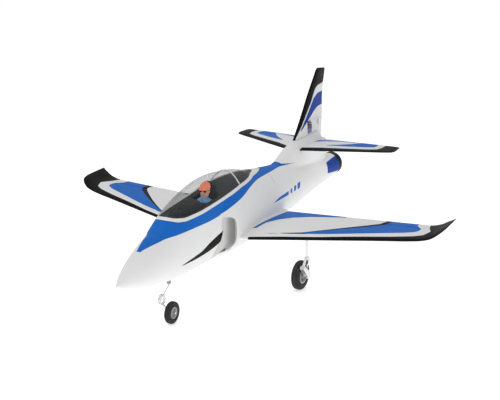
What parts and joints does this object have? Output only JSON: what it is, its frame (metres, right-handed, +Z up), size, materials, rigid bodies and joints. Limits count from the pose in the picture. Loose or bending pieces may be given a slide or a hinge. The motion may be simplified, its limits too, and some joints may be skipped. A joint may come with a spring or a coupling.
{
  "type": "rc jet plane",
  "caption": "Foam ducted-fan model jet with low wing, turned-up tips, side intakes, lift-off canopy, moving control surfaces and sprung tricycle gear.",
  "frame": {"origin": "centre of the bounding box on the plane that the wheels stand on", "axes": "+Z up, nose towards -Y, left wing towards +X"},
  "size_m": [0.9748, 1.06, 0.4465],
  "materials": {
    "white_foam": "painted moulded foam, satin",
    "duct_plastic": "grey moulded, satin",
    "black_plastic": "moulded, matte",
    "white_plastic": "painted, satin",
    "clear_canopy": "clear tinted, gloss",
    "figure_vinyl": "painted vinyl, matte",
    "servo_blue": "translucent moulded, gloss",
    "battery_wrap": "shrink wrap, satin",
    "circuit_wrap": "shrink wrap, satin",
    "motor_metal": "machined",
    "carbon_tube": "pultruded carbon, satin",
    "spring_steel": "drawn wire, bright",
    "leg_alloy": "machined, satin",
    "tyre_foam": "moulded, matte",
    "hub_plastic": "moulded, satin"
  },
  "bodies": {
    "airframe": {"fuselage_left": "white_foam", "fuselage_right": "white_foam", "wing_left": "white_foam", "wing_right": "white_foam", "tailplane_left": "white_foam", "tailplane_right": "white_foam", "fin": "white_foam", "intake_duct_left": "duct_plastic", "intake_duct_right": "duct_plastic", "thrust_tube": "duct_plastic", "nose_gear_block": "duct_plastic", "exhaust_ring": "black_plastic", "fan_housing": "black_plastic", "fan_motor": "motor_metal", "battery": "battery_wrap", "esc": "circuit_wrap", "receiver": "circuit_wrap", "steering_servo": "servo_blue", "rudder_servo": "servo_blue", "elevator_servo": "servo_blue", "aileron_servo_left": "servo_blue", "aileron_servo_right": "servo_blue", "wing_spar": "carbon_tube", "main_leg_left": "leg_alloy", "main_leg_right": "leg_alloy"},
    "canopy_hatch": {"canopy_frame": "white_plastic", "canopy_glass": "clear_canopy", "cockpit_tub": "black_plastic", "pilot_figure": "figure_vinyl"},
    "fan": {"fan_rotor": "black_plastic"},
    "aileron_flap_left": {"aileron_left": "white_foam", "aileron_horn_left": "black_plastic"},
    "aileron_flap_right": {"aileron_right": "white_foam", "aileron_horn_right": "black_plastic"},
    "aileron_lever_left": {"aileron_arm_left": "black_plastic"},
    "aileron_lever_right": {"aileron_arm_right": "black_plastic"},
    "aileron_rod_left": {"aileron_pushrod_left": "spring_steel"},
    "aileron_rod_right": {"aileron_pushrod_right": "spring_steel"},
    "elevator_flap_left": {"elevator_left": "white_foam"},
    "elevator_flap_right": {"elevator_right": "white_foam", "elevator_horn": "black_plastic"},
    "elevator_lever": {"elevator_arm": "black_plastic"},
    "elevator_rod": {"elevator_pushrod": "spring_steel"},
    "rudder_flap": {"rudder": "white_foam", "rudder_horn": "black_plastic"},
    "rudder_lever": {"rudder_arm": "black_plastic"},
    "rudder_rod": {"rudder_pushrod": "spring_steel"},
    "nose_gear": {"nose_leg": "spring_steel"},
    "nose_wheel": {"nose_tyre": "tyre_foam", "nose_hub": "hub_plastic"},
    "trailing_link_left": {"main_link_left": "leg_alloy"},
    "shock_cylinder_left": {"shock_body_left": "black_plastic"},
    "shock_piston_left": {"shock_rod_left": "spring_steel"},
    "main_wheel_left": {"main_tyre_left": "tyre_foam", "main_hub_left": "hub_plastic"},
    "trailing_link_right": {"main_link_right": "leg_alloy"},
    "shock_cylinder_right": {"shock_body_right": "black_plastic"},
    "shock_piston_right": {"shock_rod_right": "spring_steel"},
    "main_wheel_right": {"main_tyre_right": "tyre_foam", "main_hub_right": "hub_plastic"}
  },
  "joints": [
    {"name": "canopy_lift", "type": "slide", "parent": "airframe", "child": "canopy_hatch", "axis": [0, 0, 1], "range_m": [0, 0.12]},
    {"name": "fan_spin", "type": "hinge", "parent": "airframe", "child": "fan", "pos_m": [0, 0.173, 0.178], "axis": [0, 1, 0], "continuous": true},
    {"name": "aileron_hinge_left", "type": "hinge", "parent": "airframe", "child": "aileron_flap_left", "pos_m": [0.236, 0.1005, 0.15737], "axis": [0.9957, 0.091, 0.0157], "range_deg": [-20, 20]},
    {"name": "aileron_lever_turn_left", "type": "hinge", "parent": "airframe", "child": "aileron_lever_left", "pos_m": [0.236, 0.016, 0.15], "axis": [1, 0, 0], "range_deg": [-21, 21]},
    {"name": "aileron_rod_turn_left", "type": "hinge", "parent": "aileron_lever_left", "child": "aileron_rod_left", "pos_m": [0.2338, 0.016, 0.139], "axis": [1, 0, 0], "range_deg": [-21, 21]},
    {"name": "aileron_hinge_right", "type": "hinge", "parent": "airframe", "child": "aileron_flap_right", "pos_m": [-0.236, 0.1005, 0.15737], "axis": [0.9957, -0.091, -0.0157], "range_deg": [-20, 20]},
    {"name": "aileron_lever_turn_right", "type": "hinge", "parent": "airframe", "child": "aileron_lever_right", "pos_m": [-0.236, 0.016, 0.15], "axis": [1, 0, 0], "range_deg": [-21, 21]},
    {"name": "aileron_rod_turn_right", "type": "hinge", "parent": "aileron_lever_right", "child": "aileron_rod_right", "pos_m": [-0.2338, 0.016, 0.139], "axis": [1, 0, 0], "range_deg": [-21, 21]},
    {"name": "elevator_hinge_left", "type": "hinge", "parent": "airframe", "child": "elevator_flap_left", "pos_m": [0.0248, 0.3828, 0.2625], "axis": [0.9468, 0.3182, -0.049], "range_deg": [-18, 18]},
    {"name": "elevator_hinge_right", "type": "hinge", "parent": "airframe", "child": "elevator_flap_right", "pos_m": [-0.0248, 0.3828, 0.2625], "axis": [0.9468, -0.3182, 0.049], "range_deg": [-18, 18]},
    {"name": "elevator_lever_turn", "type": "hinge", "parent": "airframe", "child": "elevator_lever", "pos_m": [-0.031, 0.316, 0.246], "axis": [1, 0, 0], "range_deg": [-19, 19]},
    {"name": "elevator_rod_turn", "type": "hinge", "parent": "elevator_lever", "child": "elevator_rod", "pos_m": [-0.034, 0.316, 0.235], "axis": [1, 0, 0], "range_deg": [-19, 19]},
    {"name": "rudder_hinge", "type": "hinge", "parent": "airframe", "child": "rudder_flap", "pos_m": [0, 0.428, 0.311], "axis": [0, -0.0781, 0.9969], "range_deg": [-22, 22]},
    {"name": "rudder_lever_turn", "type": "hinge", "parent": "airframe", "child": "rudder_lever", "pos_m": [0.0012, 0.366, 0.317], "axis": [0, 0, 1], "range_deg": [-23, 23]},
    {"name": "rudder_rod_turn", "type": "hinge", "parent": "rudder_lever", "child": "rudder_rod", "pos_m": [0.0122, 0.366, 0.3184], "axis": [0, 0, 1], "range_deg": [-23, 23]},
    {"name": "nose_steer", "type": "hinge", "parent": "airframe", "child": "nose_gear", "pos_m": [0, -0.325, 0.0966], "axis": [0, 0, 1], "range_deg": [-23, 23]},
    {"name": "nose_wheel_roll", "type": "hinge", "parent": "nose_gear", "child": "nose_wheel", "pos_m": [0, -0.314, 0.0254], "axis": [1, 0, 0], "continuous": true},
    {"name": "link_swing_left", "type": "hinge", "parent": "airframe", "child": "trailing_link_left", "pos_m": [0.172, -0.006, 0.062], "axis": [1, 0, 0], "range_deg": [0, 12], "stiffness_Nm_per_rad": 0.8, "springref_deg": -14.32},
    {"name": "shock_cylinder_turn_left", "type": "hinge", "parent": "airframe", "child": "shock_cylinder_left", "pos_m": [0.172, 0.016, 0.074], "axis": [1, 0, 0], "range_deg": [-0.5, 12]},
    {"name": "shock_piston_turn_left", "type": "hinge", "parent": "trailing_link_left", "child": "shock_piston_left", "pos_m": [0.172, 0.017, 0.047], "axis": [1, 0, 0], "range_deg": [-12, 0.5]},
    {"name": "main_wheel_roll_left", "type": "hinge", "parent": "trailing_link_left", "child": "main_wheel_left", "pos_m": [0.154, 0.018, 0.035], "axis": [1, 0, 0], "continuous": true},
    {"name": "link_swing_right", "type": "hinge", "parent": "airframe", "child": "trailing_link_right", "pos_m": [-0.172, -0.006, 0.062], "axis": [1, 0, 0], "range_deg": [0, 12], "stiffness_Nm_per_rad": 0.8, "springref_deg": -14.32},
    {"name": "shock_cylinder_turn_right", "type": "hinge", "parent": "airframe", "child": "shock_cylinder_right", "pos_m": [-0.172, 0.016, 0.074], "axis": [1, 0, 0], "range_deg": [-0.5, 12]},
    {"name": "shock_piston_turn_right", "type": "hinge", "parent": "trailing_link_right", "child": "shock_piston_right", "pos_m": [-0.172, 0.017, 0.047], "axis": [1, 0, 0], "range_deg": [-12, 0.5]},
    {"name": "main_wheel_roll_right", "type": "hinge", "parent": "trailing_link_right", "child": "main_wheel_right", "pos_m": [-0.154, 0.018, 0.035], "axis": [1, 0, 0], "continuous": true}
  ],
  "couplings": [
    {"joint": "aileron_hinge_right", "follows": "aileron_hinge_left", "ratio": -1},
    {"joint": "aileron_lever_turn_left", "follows": "aileron_hinge_left", "ratio": 1},
    {"joint": "aileron_rod_turn_left", "follows": "aileron_hinge_left", "ratio": -1},
    {"joint": "aileron_lever_turn_right", "follows": "aileron_hinge_left", "ratio": -1},
    {"joint": "aileron_rod_turn_right", "follows": "aileron_hinge_left", "ratio": 1},
    {"joint": "elevator_hinge_right", "follows": "elevator_hinge_left", "ratio": 1},
    {"joint": "elevator_lever_turn", "follows": "elevator_hinge_left", "ratio": 0.95},
    {"joint": "elevator_rod_turn", "follows": "elevator_hinge_left", "ratio": -0.95},
    {"joint": "rudder_lever_turn", "follows": "rudder_hinge", "ratio": 1},
    {"joint": "rudder_rod_turn", "follows": "rudder_hinge", "ratio": -1},
    {"joint": "nose_steer", "follows": "rudder_hinge", "ratio": -1},
    {"joint": "shock_cylinder_turn_left", "follows": "link_swing_left", "ratio": 0.605},
    {"joint": "shock_piston_turn_left", "follows": "link_swing_left", "ratio": -0.395},
    {"joint": "shock_cylinder_turn_right", "follows": "link_swing_right", "ratio": 0.605},
    {"joint": "shock_piston_turn_right", "follows": "link_swing_right", "ratio": -0.395}
  ]
}
